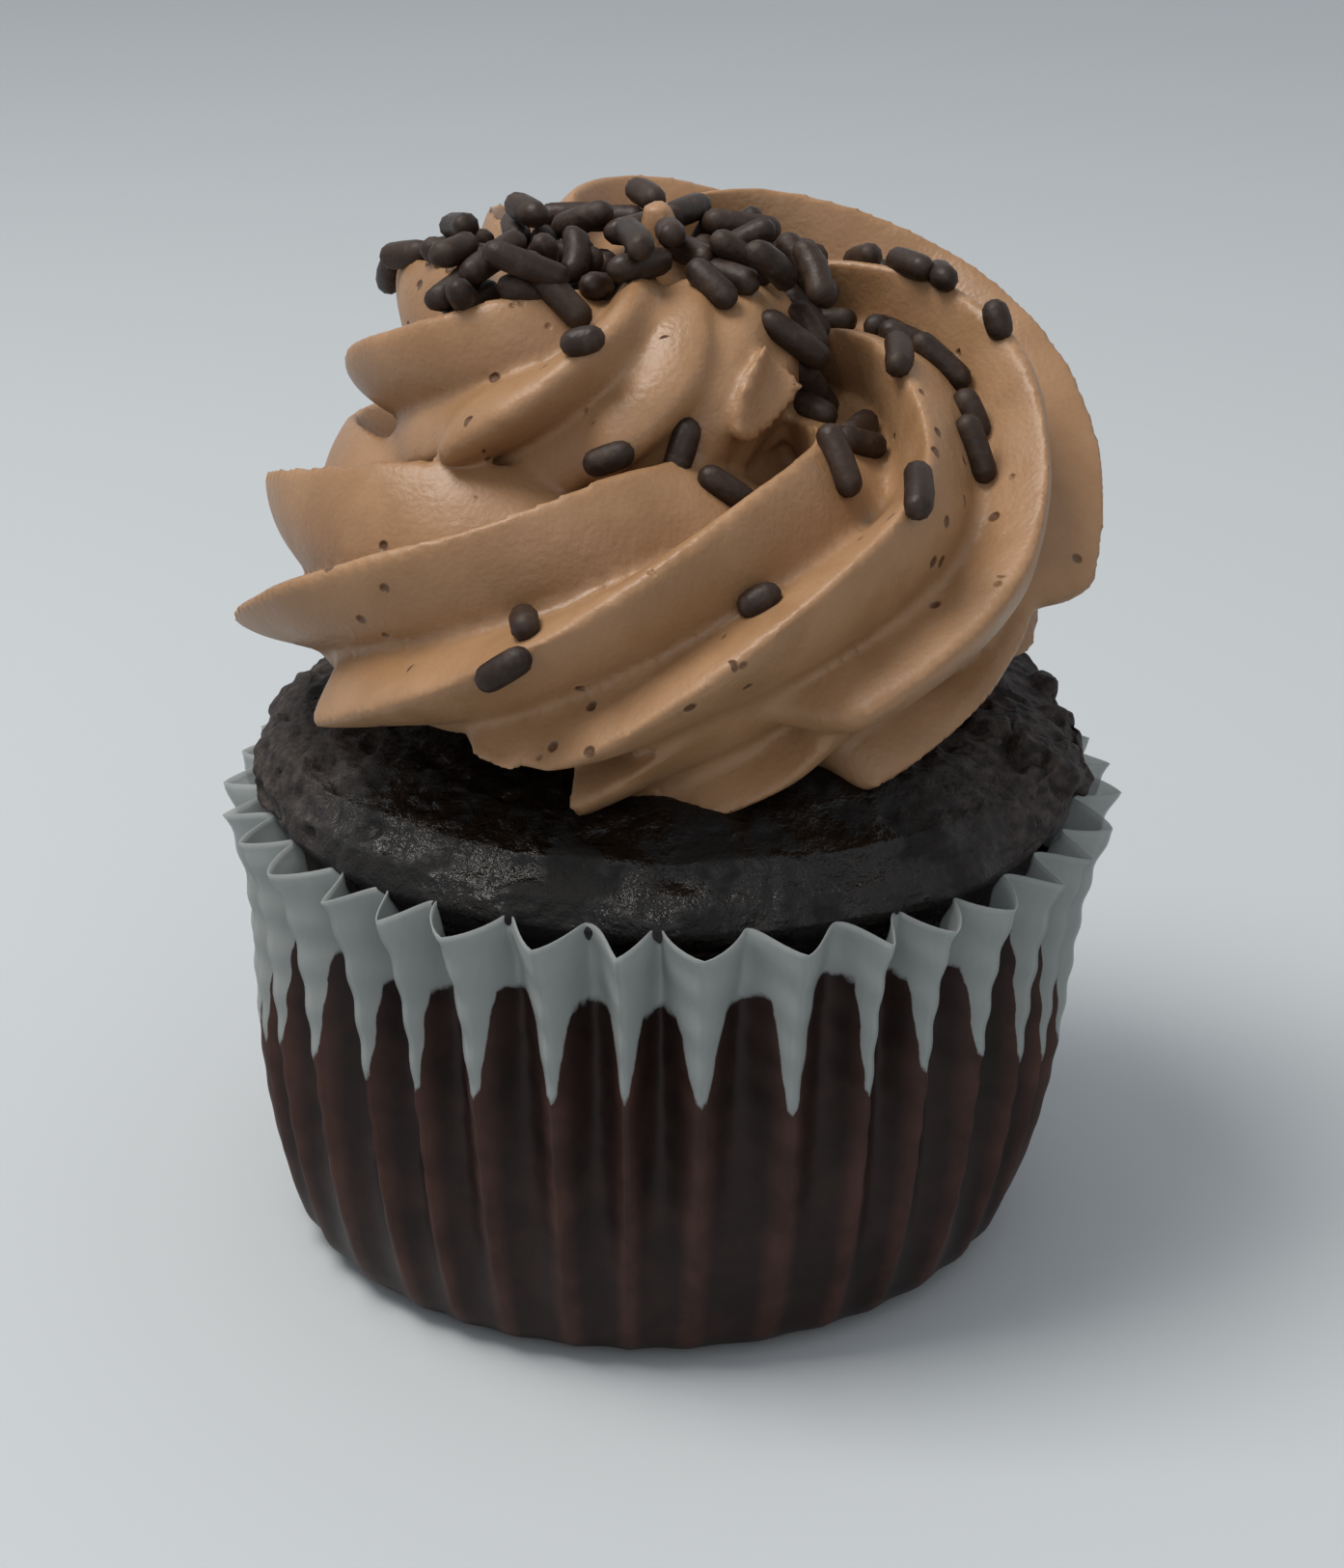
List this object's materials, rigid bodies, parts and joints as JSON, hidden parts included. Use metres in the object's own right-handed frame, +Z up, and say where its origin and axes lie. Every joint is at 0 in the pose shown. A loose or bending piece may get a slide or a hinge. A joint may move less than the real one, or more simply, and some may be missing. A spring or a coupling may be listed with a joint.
{
  "type": "cupcake",
  "caption": "Dark chocolate cupcake in a pleated paper case, topped with a tall swirl of piped chocolate frosting and dark sprinkles.",
  "frame": {"origin": "on the standing surface, under the middle of the paper case's rim", "axes": "+Z up through the cupcake, -Y towards the side where the piped rope starts, +X to the right of it"},
  "size_m": [0.0698, 0.0698, 0.0799],
  "materials": {
    "paper": "thin greaseproof paper, white at the rim and stained brown where the cake touches it",
    "sponge": "very dark, moist baked sponge with a crumbly side and a slightly shiny crust",
    "buttercream": "smooth milk-chocolate buttercream with a soft sheen and small air holes"
  },
  "bodies": {
    "root": {"paper_case": "paper", "cake": "sponge", "frosting": "buttercream"}
  },
  "joints": []
}
